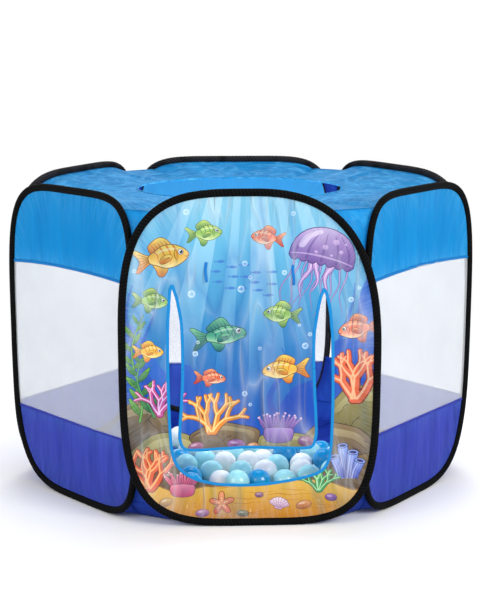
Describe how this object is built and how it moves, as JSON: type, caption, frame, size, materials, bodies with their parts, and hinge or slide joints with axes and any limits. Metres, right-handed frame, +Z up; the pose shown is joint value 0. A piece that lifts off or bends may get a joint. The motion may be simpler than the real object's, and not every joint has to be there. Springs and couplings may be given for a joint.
{
  "type": "ball pit tent",
  "caption": "Six-sided pop-up play tent with mesh windows, a printed front with a hinged door flap, an open roof, and a heap of play balls on its floor.",
  "frame": {"origin": "on the ground, under the middle of the tent's bounding box", "axes": "+Z up, the door faces -Y, +X to the right as seen from the front"},
  "size_m": [1.1078, 0.9, 0.743],
  "materials": {
    "spring_steel": "plain",
    "black_tape": "woven, slightly satin",
    "sky_cloth": "thin satin polyester",
    "roof_cloth": "thin satin polyester",
    "white_net": "fine open net",
    "deep_blue_cloth": "thin satin polyester",
    "floor_cloth": "thin satin polyester",
    "printed_cloth": "thin satin polyester, printed",
    "blue_edging": "folded tape",
    "ribbon_blue": "satin ribbon",
    "ball_blue": "gloss, in white, aqua and blue"
  },
  "bodies": {
    "tent": {"front_binding": "black_tape", "front_wire_loop": "spring_steel", "right_front_binding": "black_tape", "right_front_wire_loop": "spring_steel", "right_back_binding": "black_tape", "right_back_wire_loop": "spring_steel", "back_binding": "black_tape", "back_wire_loop": "spring_steel", "left_back_binding": "black_tape", "left_back_wire_loop": "spring_steel", "left_front_binding": "black_tape", "left_front_wire_loop": "spring_steel", "right_front_upper_band": "sky_cloth", "right_front_mesh_window": "white_net", "right_front_lower_band": "deep_blue_cloth", "right_back_upper_band": "sky_cloth", "right_back_mesh_window": "white_net", "right_back_lower_band": "deep_blue_cloth", "back_upper_band": "sky_cloth", "back_mesh_window": "white_net", "back_lower_band": "deep_blue_cloth", "left_back_upper_band": "sky_cloth", "left_back_mesh_window": "white_net", "left_back_lower_band": "deep_blue_cloth", "left_front_upper_band": "sky_cloth", "left_front_mesh_window": "white_net", "left_front_lower_band": "deep_blue_cloth", "front_panel": "printed_cloth", "door_edging": "blue_edging", "left_outer_tie": "ribbon_blue", "left_inner_tie": "ribbon_blue", "right_outer_tie": "ribbon_blue", "right_inner_tie": "ribbon_blue", "front_right_upper_gusset": "sky_cloth", "front_right_lower_gusset": "deep_blue_cloth", "right_upper_gusset": "sky_cloth", "right_lower_gusset": "deep_blue_cloth", "back_right_upper_gusset": "sky_cloth", "back_right_lower_gusset": "deep_blue_cloth", "back_left_upper_gusset": "sky_cloth", "back_left_lower_gusset": "deep_blue_cloth", "left_upper_gusset": "sky_cloth", "left_lower_gusset": "deep_blue_cloth", "front_left_upper_gusset": "sky_cloth", "front_left_lower_gusset": "deep_blue_cloth", "roof": "roof_cloth", "roof_hem": "roof_cloth", "floor": "floor_cloth", "ball_bed": "ball_blue"},
    "flap_upper": {"door_flap_upper": "printed_cloth", "flap_edging_upper_left": "blue_edging", "flap_edging_upper_right": "blue_edging"},
    "flap_middle": {"door_flap_middle": "printed_cloth", "flap_edging_middle_left": "blue_edging", "flap_edging_middle_right": "blue_edging"},
    "flap_lower": {"door_flap_lower": "printed_cloth", "flap_edging_lower": "blue_edging"}
  },
  "joints": [
    {"name": "flap_upper_hinge", "type": "hinge", "parent": "tent", "child": "flap_upper", "pos_m": [0, -0.442, 0.533], "axis": [-1, 0, 0], "range_deg": [-50, 50]},
    {"name": "flap_middle_hinge", "type": "hinge", "parent": "flap_upper", "child": "flap_middle", "pos_m": [0, -0.442, 0.41333], "axis": [-1, 0, 0], "range_deg": [-50, 50]},
    {"name": "flap_lower_hinge", "type": "hinge", "parent": "flap_middle", "child": "flap_lower", "pos_m": [0, -0.442, 0.29367], "axis": [-1, 0, 0], "range_deg": [-50, 50]}
  ],
  "couplings": [
    {"joint": "flap_middle_hinge", "follows": "flap_upper_hinge", "ratio": 1},
    {"joint": "flap_lower_hinge", "follows": "flap_upper_hinge", "ratio": 1}
  ]
}
